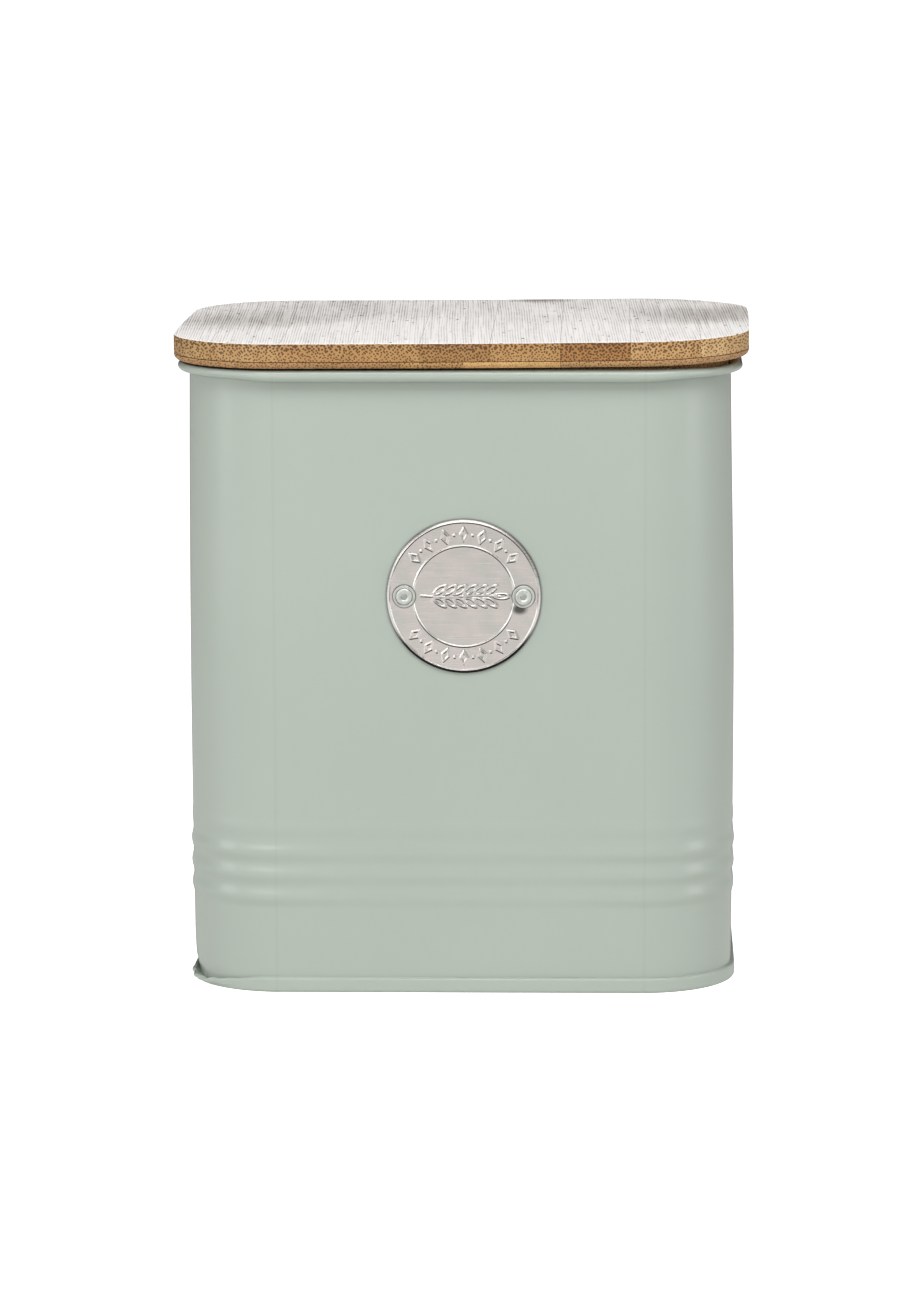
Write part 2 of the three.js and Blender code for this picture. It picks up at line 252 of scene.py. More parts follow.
def sweep(profile, stations, shift=None, capped=False):
    """A mesh swept round the stations. A capped one closes its first and last rings with flat faces."""
    bm = bmesh.new()
    rings = []
    for place in stations:
        ring = []
        for k, (r, z) in enumerate(profile):
            dr, dz = shift(place, k, r, z) if shift else (0, 0)
            x, y = place.centre + place.outward * (r + dr)
            ring.append(bm.verts.new((x, y, z + dz)))
        rings.append(ring)
    count = len(profile)
    for i, ring in enumerate(rings):
        after = rings[(i + 1) % len(rings)]
        for k in range(count - 1 if capped else count):
            j = (k + 1) % count
            bm.faces.new((ring[k], after[k], after[j], ring[j]))
    if capped:
        bm.faces.new([ring[0] for ring in rings])
        bm.faces.new([ring[-1] for ring in rings])
    bmesh.ops.recalc_face_normals(bm, faces=bm.faces)
    return bm


def circle(bm, centre, radius, y, steps):
    """Vertices round a circle that faces along Y, or one vertex if it has no radius."""
    made = []
    for i in range(steps if radius else 1):
        turn = 2 * math.pi * i / steps
        x, z = radius * math.cos(turn), radius * math.sin(turn)
        made.append(bm.verts.new((centre.x + x, y, centre.z + z)))
    return made


def turned(profile, steps, centre, closed_on_axis):
    """A mesh turned about a line through centre along -Y, from points (radius, distance to the front)."""
    bm = bmesh.new()
    rings = [circle(bm, centre, r, centre.y - d, steps) for r, d in profile]
    pairs = list(zip(rings, rings[1:]))
    if not closed_on_axis:
        pairs.append((rings[-1], rings[0]))
    for a, b in pairs:
        for i in range(steps):
            j = (i + 1) % steps
            corners = [a[i % len(a)], a[j % len(a)], b[j % len(b)], b[i % len(b)]]
            unique = list(dict.fromkeys(corners))
            bm.faces.new(unique)
    bmesh.ops.recalc_face_normals(bm, faces=bm.faces)
    return bm


def piece(name, bm, body, nodes, material, sharp=32):
    """Makes the object, smooth but for edges sharper than the angle, and rides it on its body."""
    mesh = bpy.data.meshes.new(name)
    bm.to_mesh(mesh)
    bm.free()
    mesh.shade_smooth()
    mesh.set_sharp_from_angle(angle=math.radians(sharp))
    mesh.materials.append(material)
    obj = bpy.data.objects.new(name, mesh)
    bpy.context.scene.collection.objects.link(obj)
    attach(obj, body)
    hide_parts(*nodes)
    return obj


def drilled(obj, radius, holes):
    """Cuts round holes along Y at the places given."""
    for i, hole in enumerate(holes):
        cutter = turned([(0, -9 * MM), (radius, -9 * MM), (radius, 9 * MM), (0, 9 * MM)], 32, hole, True)
        mesh = bpy.data.meshes.new(f"cutter_{i}")
        cutter.to_mesh(mesh)
        cutter.free()
        tool = bpy.data.objects.new(mesh.name, mesh)
        bpy.context.scene.collection.objects.link(tool)
        cut = obj.modifiers.new(f"hole_{i}", "BOOLEAN")
        cut.operation = "DIFFERENCE"
        cut.solver = "EXACT"
        cut.object = tool
        bpy.context.view_layer.update()
        applied = bpy.data.meshes.new_from_object(obj.evaluated_get(bpy.context.evaluated_depsgraph_get()))
        obj.modifiers.remove(cut)
        obj.data = applied
        bpy.data.objects.remove(tool)
    return obj


# ---------------------------------------------------------------- materials
def srgb(*rgb):
    """An 8-bit sRGB colour as a linear RGBA one."""
    linear = [c / 255 / 12.92 if c <= 10 else ((c / 255 + 0.055) / 1.055) ** 2.4 for c in rgb]
    return (*linear, 1)


class Shader:
    """A node material under construction: node() adds a node and links or sets its inputs."""

    def __init__(self, name):
        self.material = bpy.data.materials.new(name)
        self.material.use_nodes = True
        self.tree = self.material.node_tree
        self.surface = self.tree.nodes["Principled BSDF"]
        self.coords = self.node("ShaderNodeTexCoord").outputs["Object"]
        self.normal = self.node("ShaderNodeNewGeometry").outputs["Normal"]

    def node(self, kind, inputs=None, **settings):
        made = self.tree.nodes.new(kind)
        for key, value in settings.items():
            setattr(made, key, value)
        for key, value in (inputs or {}).items():
            self.set(made.inputs[key], value)
        return made

    def set(self, socket, value):
        if isinstance(value, bpy.types.NodeSocket):
            self.tree.links.new(value, socket)
        else:
            socket.default_value = value

    def finish(self, **inputs):
        for key, value in inputs.items():
            self.set(self.surface.inputs[key.replace("_", " ")], value)
        return self.material

    def math(self, operation, a, b=0.0, clamp=False):
        return self.node("ShaderNodeMath", {0: a, 1: b}, operation=operation, use_clamp=clamp).outputs[0]

    def part(self, vector, axis):
        return self.node("ShaderNodeSeparateXYZ", {0: vector}).outputs[axis]

    def vector_math(self, operation, a, b, output="Vector"):
        return self.node("ShaderNodeVectorMath", {0: a, 1: b}, operation=operation).outputs[output]

    def stretched(self, x, y, z, coords=None):
        """The object's coordinates, or others, scaled along each axis, in cells per metre."""
        inputs = {"Vector": coords or self.coords, "Scale": (x, y, z)}
        return self.node("ShaderNodeMapping", inputs).outputs[0]

    def rotated(self, x, y, z):
        inputs = {"Vector": self.coords, "Rotation": (x, y, z)}
        return self.node("ShaderNodeMapping", inputs).outputs[0]

    def noise(self, vector, scale=1.0, detail=2.0, roughness=0.5):
        inputs = {"Vector": vector, "Scale": scale, "Detail": detail, "Roughness": roughness}
        return self.node("ShaderNodeTexNoise", inputs).outputs["Fac"]

    def ramp(self, value, low, high, at_low=0.0, at_high=1.0):
        inputs = {"Value": value, "From Min": low, "From Max": high, "To Min": at_low, "To Max": at_high}
        return self.node("ShaderNodeMapRange", inputs, interpolation_type="SMOOTHSTEP").outputs[0]

    def mix(self, factor, a, b):
        made = self.node("ShaderNodeMix", data_type="RGBA")
        for socket, value in ((made.inputs[0], factor), (made.inputs[6], a), (made.inputs[7], b)):
            self.set(socket, value)
        return made.outputs[2]

    def bump(self, height, distance, strength):
        inputs = {"Height": height, "Distance": distance, "Strength": strength}
        return self.node("ShaderNodeBump", inputs).outputs[0]

    def crevices(self, colour, reach, shade, strength, closed=0.12):
        """Painted shade: the colour darkened where another surface is within reach, fully where it leaves
        this much open.
        """
        openness = self.node("ShaderNodeAmbientOcclusion", {"Distance": reach}, samples=8).outputs["AO"]
        return self.mix(self.math("MULTIPLY", self.ramp(openness, 0.92, closed), strength), colour, shade)


def enamel():
    """Satin sage enamel: a little uneven in tone, with a faint orange peel, a few dust specks and painted
    shade.
    """
    s = Shader("sage_enamel")
    clouds = s.noise(s.coords, 14, 3)
    tone = s.mix(s.ramp(clouds, 0.3, 0.7), srgb(166, 175, 165), srgb(168, 177, 167))
    specks = s.node("ShaderNodeTexVoronoi", {"Vector": s.coords, "Scale": 260.0}).outputs["Distance"]
    rare = s.ramp(s.noise(s.coords, 90, 1), 0.66, 0.7)
    dust = s.math("MULTIPLY", s.ramp(specks, 0.09, 0.04), rare)
    colour = s.mix(s.math("MULTIPLY", dust, 0.35), tone, srgb(150, 140, 120))
    height = s.part(s.coords, "Z")
    # Painted shade in crevices, such as under the lid, under the rim's curl and round the badge, weak low
    # down and strong towards the top.
    depth = s.ramp(height, 60 * MM, RIM_TOP - 8 * MM, 0.05, 0.97)
    colour = s.crevices(colour, 0.9 * MM, srgb(24, 27, 23), depth, closed=0.35)
    # Painted dark reflection along edges seen at a grazing angle.
    glancing = s.node("ShaderNodeLayerWeight", {"Blend": 0.5}).outputs["Facing"]
    colour = s.mix(s.ramp(glancing, 0.8, 0.93, 0, 0.55), colour, srgb(84, 79, 74))
    # Painted shade: a faint dark line just past where the sheet starts to bend round each corner.
    across = s.math("ABSOLUTE", s.part(s.coords, "X"))
    bend = s.math("ABSOLUTE", s.math("SUBTRACT", across, BEND_SHADE_LINE))
    colour = s.mix(s.ramp(bend, 0.8 * MM, 0.1 * MM, 0, 0.06), colour, srgb(110, 116, 108))
    # Painted shade on faces turned upwards low down, such as the bottom seam's crest.
    up = s.part(s.normal, "Z")
    ledge_shade = s.math("MULTIPLY", s.ramp(up, 0.3, 0.8), s.ramp(height, 12 * MM, 6 * MM))
    colour = s.mix(s.math("MULTIPLY", ledge_shade, 0.06), colour, srgb(104, 108, 96))
    normal = s.bump(s.noise(s.coords, 700, 2), 0.02 * MM, 0.3)
    roughness = s.ramp(s.noise(s.coords, 60, 3), 0.3, 0.7, 0.32, 0.34)
    return s.finish(
        Base_Color=colour, Roughness=roughness, Normal=normal, Specular_IOR_Level=0.45,
        Coat_Weight=0.3, Coat_Roughness=0.14,
    )


def fibres(s, size):
    """Distance to the nearest fibre, in fibre spacings: bundles in slanting rows that wander along Y."""
    cells = s.stretched(1 / size, 1, 1 / size, s.rotated(0, math.radians(40), 0))
    bend = s.noise(s.stretched(90, 8, 90), 1, 2)
    across = s.math("ADD", s.part(cells, "X"), s.math("MULTIPLY", bend, 2.0))
    upwards = s.math("ADD", s.part(cells, "Z"), bend)
    section = s.node("ShaderNodeCombineXYZ", {"X": across, "Y": upwards}).outputs[0]
    inputs = {"Vector": section, "Scale": 1.0, "Randomness": 0.72}
    return s.node("ShaderNodeTexVoronoi", inputs, voronoi_dimensions="2D").outputs["Distance"]


def bamboo_colour(s):
    """Caramel bamboo: each strip's own tone and crowding of dark fibre bundles, thicker under the skin."""
    strip = s.node("ShaderNodeObjectInfo")
    drift = s.noise(s.stretched(260, 14, 260), 1, 3)
    base = s.mix(s.ramp(drift, 0.3, 0.7, 0.1, 0.4), strip.outputs["Color"], srgb(150, 104, 58))
    bundle = fibres(s, 0.88 * MM)
    height = s.part(s.coords, "Z")
    skin = s.ramp(height, lid_hi.z - 4.2 * MM, lid_hi.z - 0.6 * MM, 0.8, 1.14)
    crowd = s.math("MULTIPLY", skin, strip.outputs["Alpha"])
    dark = s.ramp(s.math("SUBTRACT", s.math("MULTIPLY", crowd, 0.36), bundle), -0.05, 0.05)
    colour = s.mix(s.math("MULTIPLY", dark, 0.85), base, srgb(74, 45, 22))
    # Painted shade in the joints between the strips and in the gap under the lid.
    return s.crevices(colour, 1.5 * MM, srgb(22, 13, 6), 0.97), bundle


def bamboo():
    s = Shader("bamboo")
    colour, bundle = bamboo_colour(s)
    normal = s.bump(bundle, 0.06 * MM, 0.5)
    return s.finish(Base_Color=colour, Roughness=0.55, Normal=normal, Specular_IOR_Level=0.3)


def limed_bamboo():
    """Bamboo edges under a lime-washed, wire-brushed top whose lines run front to back."""
    s = Shader("limed_bamboo")
    edge, bundle = bamboo_colour(s)
    up = s.part(s.normal, "Z")
    face = s.ramp(up, 0.55, 0.8)
    level = s.ramp(up, 0.9, 0.99)

    lean = s.rotated(0, 0, -GRAIN_LEAN)
    wander = s.noise(s.stretched(70, 12, 90), 1, 3)
    offset = s.node("ShaderNodeCombineXYZ", {"X": s.math("MULTIPLY", wander, 1.5)}).outputs[0]

    def brushed(pitch, length, low, high):
        cells = s.stretched(1.7 / pitch, 1 / length, 1, lean)
        across = s.vector_math("ADD", cells, offset)
        return s.ramp(s.noise(across, 1, 1, 0.5), low, high)

    stroke = s.part(s.stretched(1 / BRUSH_PITCH, 1, 1, lean), "X")
    stroke = s.math("MULTIPLY", s.math("ADD", stroke, s.math("MULTIPLY", wander, 1.5)), 2 * math.pi)
    even_lines = s.ramp(s.math("SINE", stroke), -0.3, 0.7)
    fine = s.math("MULTIPLY", even_lines, brushed(0.9 * MM, 45 * MM, 0.3, 0.55))
    coarse = brushed(1.7 * MM, 90 * MM, 0.52, 0.64)
    broken = s.noise(s.stretched(420, 130, 1, lean), 1, 4, 0.65)
    worn = wear(s, s.noise(s.stretched(60, 30, 1), 1, 4, 0.6))
    lines = s.math("ADD", s.math("MULTIPLY", fine, 0.85), s.math("MULTIPLY", coarse, 0.2), clamp=True)
    groove = s.math("MULTIPLY", s.math("MULTIPLY", lines, s.ramp(broken, 0.35, 0.6, 0.6, 1.0)), level)
    depth = s.math("MULTIPLY", groove, s.ramp(worn, 0.1, 1.1, 0.44, 1.0))
    thin = s.math("MULTIPLY", s.ramp(worn, 0.15, 1.2), level)
    wash = s.mix(thin, srgb(252, 249, 246), srgb(208, 203, 199))
    wash = s.mix(s.ramp(worn, 1.15, 1.5, 0, 0.7), wash, srgb(170, 150, 134))
    colour = s.mix(depth, wash, srgb(128, 120, 114))
    speck_cells = s.node("ShaderNodeTexVoronoi", {"Vector": s.stretched(330, 150, 1), "Scale": 1.0})
    speck = s.math("MULTIPLY", s.ramp(speck_cells.outputs["Distance"], 0.22, 0.1), s.ramp(broken, 0.5, 0.6))
    colour = s.mix(s.math("MULTIPLY", speck, 0.9), colour, srgb(92, 82, 74))

    final = s.mix(face, edge, colour)
    height = s.node("ShaderNodeMix", {0: face, 2: bundle, 3: s.math("MULTIPLY", groove, -1.0)}).outputs[0]
    normal = s.bump(height, 0.08 * MM, 0.6)
    roughness = s.ramp(face, 0, 1, 0.55, 0.85)
    return s.finish(Base_Color=final, Roughness=roughness, Normal=normal, Specular_IOR_Level=0.3)


def wear(s, cloud):
    """How worn the wash is, in clouds and in the worn patches; the top is also made darker towards the back.
    """
    back = s.ramp(s.part(s.coords, "Y"), -62 * MM, 62 * MM, -0.3, 0.12)
    total = s.math("ADD", s.math("MULTIPLY", cloud, 0.7), back)
    for x, y, radius, amount in WORN_PATCHES:
        away = s.vector_math("DISTANCE", s.stretched(1, 1, 0), (x, y, 0), "Value")
        total = s.math("ADD", total, s.ramp(away, radius, 0, 0, amount))
    return total


def brushed_badge():
    """Pressed aluminium, brushed from side to side, a little marked, with painted light and shade: dark on
    slopes facing up or down.
    """
    s = Shader("brushed_badge")
    brush = s.noise(s.stretched(60, 1, 3200), 1, 3, 0.6)
    stains = s.noise(s.coords, 150, 3)
    tone = s.mix(s.ramp(stains, 0.3, 0.7), srgb(211, 209, 203), srgb(225, 215, 211))
    colour = s.mix(s.ramp(brush, 0.3, 0.7, 0, 0.28), tone, srgb(186, 182, 178))
    up = s.part(s.normal, "Z")
    # Painted light and shade on the pressed slopes: a highlight on those facing left or right, a dark
    # reflection on those facing up and a near-black one on those facing down.
    sideways_highlight = s.ramp(s.math("ABSOLUTE", s.part(s.normal, "X")), 0.2, 0.6, 0, 0.8)
    above = s.ramp(up, 0.25, 0.65, 0, 0.5)
    below = s.ramp(up, -0.15, -0.3, 0, 0.97)
    colour = s.mix(sideways_highlight, colour, srgb(255, 255, 250))
    colour = s.mix(above, colour, srgb(80, 78, 74))
    centred = s.vector_math("SUBTRACT", s.coords, BADGE_CENTRE)
    radius = s.vector_math("LENGTH", s.stretched(1, 0, 1, centred), (0, 0, 0), "Value")
    # Painted shade: a dark outline round the plate's edge.
    edge = s.ramp(radius, BADGE_R - 0.5 * MM, BADGE_R - 0.15 * MM, 0, 0.7)
    colour = s.mix(edge, colour, srgb(60, 60, 56))
    colour = s.mix(below, colour, srgb(16, 15, 14))

    # Painted shadow: a dark oval patch round a point.
    def painted_shadow(colour, at, wide, high, fade, amount):
        oval = s.stretched(1 / wide, 0, 1 / high, s.vector_math("SUBTRACT", s.coords, at))
        away = s.vector_math("LENGTH", oval, (0, 0, 0), "Value")
        return s.mix(s.ramp(away, 1.0, fade, 0, amount), colour, srgb(48, 46, 43))

    # Painted shadow round each rivet's head, and under the right one, which stands proud at its lower left.
    for low, high in (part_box("rivet_left"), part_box("rivet_right")):
        colour = painted_shadow(colour, (low + high) / 2, RIVET_SHADOW_R, RIVET_SHADOW_R, 0.88, 0.85)
    low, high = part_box("rivet_right")
    below_it = (low + high) / 2 + Vector((-1.2, 0, -3.9)) * MM
    colour = painted_shadow(colour, below_it, 3.2 * MM, 2.2 * MM, 0.3, 0.85)
    normal = s.bump(brush, 0.012 * MM, 0.5)
    roughness = s.ramp(brush, 0.3, 0.7, 0.26, 0.36)
    return s.finish(Base_Color=colour, Metallic=1.0, Roughness=roughness, Normal=normal)


def rivet_metal(name, low, high, dents):
    s = Shader(name)
    grime = s.noise(s.coords, 900, 3)
    # Painted dark reflection on the heads' and pins' sides, where they turn away from the front.
    turned_away = s.ramp(s.math("ABSOLUTE", s.part(s.normal, "Y")), 0.85, 0.5, 0, 0.6)
    colour = s.mix(turned_away, s.mix(s.ramp(grime, 0.35, 0.65), low, high), srgb(56, 56, 52))
    normal = s.bump(s.noise(s.coords, 1500, 2), dents, 0.7)
    return s.finish(
        Base_Color=colour, Metallic=0.85, Roughness=s.ramp(grime, 0.3, 0.7, 0.42, 0.52), Normal=normal,
    )


def silicone():
    s = Shader("white_silicone")
    haze = s.noise(s.coords, 260, 2)
    colour = s.mix(haze, srgb(226, 226, 220), srgb(236, 236, 232))
    normal = s.bump(s.noise(s.coords, 1800, 2), 0.01 * MM, 0.5)
    return s.finish(
        Base_Color=colour, Roughness=s.ramp(haze, 0.3, 0.7, 0.4, 0.5), Normal=normal,
        Subsurface_Weight=0.3, Subsurface_Scale=1.5 * MM,
    )


ENAMEL = enamel()
BAMBOO = bamboo()
LIMED = limed_bamboo()
BADGE_METAL = brushed_badge()
RIVET_METAL = rivet_metal("rivet_aluminium", srgb(198, 201, 195), srgb(210, 213, 206), 0.012 * MM)
PIN_METAL = rivet_metal("rivet_pin_steel", srgb(166, 169, 167), srgb(178, 180, 177), 0.02 * MM)
SILICONE = silicone()

# ---------------------------------------------------------------- the tin's wall
LAYER = SHEET + SEAM_GAP
SEAM_MID_R = WALL_MID_R + LAYER
SEAM_BEND = 2 * LAYER
SEAM_BEND_Z = SEAM_BEND * math.cos(math.pi / (2 * SEAM_FACETS)) + SHEET / 2
HOOK_BEND_Z = SEAM_TOP - LAYER - SHEET / 2


def bead_offset(z):
    """How far the beads stand out at a height."""
    for centre, reach in BEADS:
        if abs(z - centre) < BEAD_WIDTH / 2:
            return reach / 2 * (1 + math.cos(2 * math.pi * (z - centre) / BEAD_WIDTH))
    return 0


def wall_path():
    """The sheet's centreline: its hook in the bottom seam, the beads, the plain wall, the rim's curl."""
    low = BEADS[0][0] - BEAD_WIDTH / 2
    high = BEADS[-1][0] + BEAD_WIDTH / 2
    beaded = [low + (high - low) * i / 56 for i in range(57)]
    curl_z = RIM_TOP - CURL_R
    return [
        (SEAM_MID_R + LAYER, HOOK_BEND_Z - SHEET / 2),
        *arc(SEAM_MID_R, SEAM_BEND_Z, LAYER, 0, -180, 8),
        *line((WALL_MID_R, 2 * MM), (WALL_MID_R, low), 5),
        *[(WALL_MID_R + bead_offset(z), z) for z in beaded],
        *line((WALL_MID_R, high + 5 * MM), (WALL_MID_R, SIDE_SEAM_SPAN[1]), 14),
        (WALL_MID_R, SIDE_SEAM_SPAN[1] + 1 * MM),
        *arc(WALL_INNER_R + CURL_R, curl_z, CURL_R - SHEET / 2, 180, -135, 28),
    ]


def near_knock(x, y):
    """1 at the left front corner, where the seam was knocked open, falling to 0 along it."""
    away = math.hypot(x - KNOCK_X, y - KNOCK_Y)
    return 1 - smooth(away, 5 * MM, 27 * MM)


def seam_knock(x, y, z):
    """How far the bottom seam's lip was knocked out from the wall, and down."""
    wander = 0.85 + 0.25 * noise.noise(Vector((x, y, 2)) * 330)
    reach = near_knock(x, y) * wander
    out = KNOCK_OUT * reach ** 3 * smooth(z, -1.5 * MM, 2 * MM)
    down = KNOCK_DOWN * reach * smooth(z, 1.5 * MM, SEAM_TOP)
    return out, -down


def enamel_gap(x, y):
    """How far the enamel has sunk behind the seam's crest: open at the knock, a hair on the right."""
    ragged = 0.5 + 0.5 * noise.noise(Vector((x, y, 3)) * 420)
    hair = 0.55 * smooth(x, -12 * MM, 0) * ragged ** 2
    return (0.9 * near_knock(x, y) * (0.6 + ragged) + hair) * MM


def neck(place, z):
    """How far the right end is drawn in towards the rim."""
    return NECK * smooth(z, 95 * MM, 180 * MM) * max(0, place.outward.x) ** 2


def foot_tuck(place, r, y, z):
    """How far the left end's foot is pushed in: the wall from the knock on, the seam's lip further back."""
    left = max(0, -place.outward.x) ** 2
    further_back = smooth(y, -48 * MM, -41 * MM)
    if r > WALL_R + SEAM_GAP / 2 and z < SEAM_TOP:
        return left * FOOT_TUCK * further_back
    start = FOOT_TUCK_START * smooth(y, -50 * MM, -42 * MM)
    rest = (FOOT_TUCK - FOOT_TUCK_START) * further_back
    return left * (start + rest) * (1 - smooth(z, 1 * MM, 9 * MM))


def wall_shift(outer_count):
    """Small departures from the ideal wall: ends that belly, a dished front, the back seam's fold."""
    curl_bottom = RIM_TOP - 2 * CURL_R - 0.2 * MM

    def shift(place, k, r, z):
        x, y = place.centre + place.outward * r
        tuck = foot_tuck(place, r, y, z)
        if z < SEAM_TOP:
            out, down = seam_knock(x, y, z) if r > WALL_R + SEAM_GAP / 2 else (0, 0)
            return out - tuck, down
        if z > curl_bottom:
            pinch = CURL_PINCH * smooth(abs(place.outward.x), 0, 0.5)
            dip = RIM_DIP * smooth(place.outward.x, 0.3, 0.9) * (1 - smooth(y, -15 * MM, 25 * MM))
            dip *= max(0, 1 - (RIM_TOP - z) / (2 * CURL_R))
            return -neck(place, z), pinch * (RIM_TOP - z) - dip
        height = (z - SEAM_TOP) / (curl_bottom - SEAM_TOP)
        belly = 4 * height * (1 - height)
        if place.side not in ("front", "back"):
            return END_BELLY * belly * place.outward.x ** 2 - neck(place, z) - tuck, 0
        dish = FRONT_DISH * (noise.noise(Vector((x * 22, place.outward.y, z * 18))) - 0.6) * belly
        dish *= 1 - (x / CORNER_X) ** 2
        dish -= BEAD_FADE * bead_offset(z) * (1 - smooth(abs(x), 30 * MM, CORNER_X))
        if place.side == "back":
            dish += back_seam(x, z, outer=k < outer_count)
        return dish, 0

    return shift


def back_seam(x, z, outer):
    low, high = SIDE_SEAM_SPAN
    if not low < z < high:
        return 0
    half = SIDE_SEAM_WIDTH / 2
    if outer:
        return -0.2 * MM if abs(x - half) < 0.2 * MM else 0
    return -2 * SHEET if abs(x) < half - 0.05 * MM else 0


def seam_cuts():
    """Fractions along the back at which the side seam's edges lie."""
    half = SIDE_SEAM_WIDTH / 2
    edges = [half + 0.25 * MM, half, half - 0.25 * MM, 0, -half + 0.1 * MM, -half]
    return [0.5 - x / (2 * CORNER_X) for x in edges]


long_cuts = sorted(even(14) + seam_cuts())
wall_profile = sheet_profile(wall_path())
body_places = places(20, long_cuts, even(8))
wall = piece(
    "wall", sweep(wall_profile, body_places, wall_shift(len(wall_profile) // 2)),
    "canister", ["body_wall"], ENAMEL,
)


# ---------------------------------------------------------------- the base pan and its seam
def pan_profile():
    bend = 0.8 * MM
    inner_r = SEAM_MID_R - SEAM_BEND
    step_r = inner_r - 10 * MM
    path = [
        (5 * MM, PANEL_Z - PANEL_STEP),
        *line((step_r - 2 * MM, PANEL_Z - PANEL_STEP), (step_r - PANEL_STEP, PANEL_Z - PANEL_STEP), 2),
        *line((step_r - PANEL_STEP, PANEL_Z - PANEL_STEP), (step_r, PANEL_Z), 3),
        (step_r, PANEL_Z),
        *arc(inner_r - bend, PANEL_Z - bend, bend, 90, 0, 5),
        *arc(SEAM_MID_R, SEAM_BEND_Z, SEAM_BEND, -180, 0, 10),
        *line((SEAM_MID_R + SEAM_BEND, SEAM_BEND_Z + 0.4 * MM), (SEAM_MID_R + SEAM_BEND, HOOK_BEND_Z), 3),
        *arc(SEAM_MID_R + LAYER, HOOK_BEND_Z, LAYER, 0, 180, 8),
        (SEAM_MID_R, SEAM_BEND_Z + SHEET / 2),
    ]
    profile = sheet_profile(path)
    return [bridged(r, z) if k < len(path) else (r, z) for k, (r, z) in enumerate(profile)]


def bridged(r, z):
    """Enamel pools between the seam's crest and the wall, so the crest runs on to it as a low fillet."""
    crest = SEAM_MID_R + LAYER
    if r > crest or z < HOOK_BEND_Z or r < WALL_R:
        return r, z
    return WALL_R + (r - WALL_R) * 0.6, SEAM_TOP + 0.3 * MM * (crest - r) / (crest - WALL_R)


def pan_shift(place, k, r, z):
    """The seam was rolled: its top edge and face are a little lumpy, more so round the corners."""
    x, y = place.centre + place.outward * r
    tuck = foot_tuck(place, r, y, z) * smooth(r, 8 * MM, 25 * MM)
    if r < SEAM_MID_R - SHEET or z < 1.2 * MM:
        return -tuck, 0
    amount = SEAM_LUMPS_CORNER if place.side is None else SEAM_LUMPS_SIDE
    lump = noise.noise(Vector((x, y, 0)) * 260) + 0.5 * noise.noise(Vector((x, y, 1)) * 700)
    rise = (z - 1.2 * MM) / (SEAM_TOP - 1.2 * MM)
    out, down = seam_knock(x, y, z)
    if r < SEAM_MID_R + LAYER - 0.1 * MM and z > SEAM_TOP - 0.2 * MM:
        down -= enamel_gap(x, y)
    return amount * 0.35 * lump * rise + out - tuck, amount * lump * rise + down


piece(
    "base", sweep(pan_profile(), places(40, even(96), even(56)), pan_shift),
    "canister", ["base_pan"], ENAMEL,
)

# ---------------------------------------------------------------- badge
BADGE_BACK_Y = badge_hi.y


def ellipse_gap(x, z, cx, cz, turn, long, short):
    """Rough distance outside an ellipse, negative inside."""
    dx, dz = x - cx, z - cz
    u = dx * math.cos(turn) + dz * math.sin(turn)
    v = -dx * math.sin(turn) + dz * math.cos(turn)
    scale = math.hypot(u / long, v / short)
    return (scale - 1) * short


def border_motifs():
    """Two arcs of lozenges and dots, above and below the middle: (centre x, centre z, angle, kind)."""
    made = []
    radius = 18.8 * MM
    for middle in (90, 270):
        for i in range(-6, 7):
            turn = math.radians(middle + 8.6 * i)
            kind = "lozenge" if i % 2 == 0 else "dot"
            made.append((radius * math.cos(turn), radius * math.sin(turn), turn, kind))
    return made


def ear_grains():
    """A wheat ear lying on its side: (centre x, centre z, turn) for each grain."""
    grains = []
    for i in range(6):
        x = (-7.2 + 3.05 * i) * MM
        for up in (1, -1):
            grains.append((x, up * 1.85 * MM, up * math.radians(34)))
    grains.append((11.4 * MM, 0, 0))
    return grains


BORDER = border_motifs()
GRAINS = ear_grains()


def border_relief(x, z):
    best = 0
    for cx, cz, turn, kind in BORDER:
        if abs(x - cx) > 2.6 * MM or abs(z - cz) > 2.6 * MM:
            continue
        dx, dz = x - cx, z - cz
        u = abs(dx * math.cos(turn) + dz * math.sin(turn))
        v = abs(-dx * math.sin(turn) + dz * math.cos(turn))
        if kind == "dot":
            best = max(best, 1 - smooth(math.hypot(u, v), 0.32 * MM, 0.32 * MM + SOFT))
        else:
            edge = abs(u * 0.58 + v - 1.08 * MM) * 0.865
            best = max(best, 1 - smooth(edge, 0.18 * MM, 0.18 * MM + SOFT))
    return best


def ear_relief(x, z):
    if abs(z) > 5 * MM or abs(x) > 15 * MM:
        return 0
    stem = max(abs(z - 0.25 * MM * math.sin(x * 300)) - 0.16 * MM, x - 11 * MM, -13 * MM - x, 0)
    best = 1 - smooth(stem, 0.05 * MM, SOFT)
    for cx, cz, turn in GRAINS:
        gap = abs(ellipse_gap(x, z, cx, cz, turn, 2.1 * MM, 0.8 * MM))
        best = max(best, 1 - smooth(gap, 0.1 * MM, 0.1 * MM + SOFT))
    return best


def badge_relief(r, x, z):
    """Height of the badge's face above its plain level."""
    lip = BADGE_R - 0.8 * MM
    rim = 1 - smooth(lip - r, 0.05 * MM, 0.4 * MM) if r < lip else 1 - (r - lip) / (BADGE_R - lip)
    ridge = 1 - smooth(abs(r - BADGE_RIDGE_R), 0.05 * MM, 0.42 * MM)
    height = RIM_RELIEF * rim + RIDGE_RELIEF * ridge
    if 16.2 * MM < r < 21.5 * MM:
        height += MOTIF_RELIEF * border_relief(x, z)
    if r < 15 * MM:
        height += MOTIF_RELIEF * ear_relief(x, z)
    return height


def spaced(marks):
    """Radii past zero at a pitch that changes at each (radius, pitch) mark, up to the last."""
    made = []
    for (start, pitch), (end, _) in zip(marks, marks[1:]):
        count = math.ceil((end - start) / pitch)
        made += [start + (end - start) * i / count for i in range(1, count + 1)]
    return made


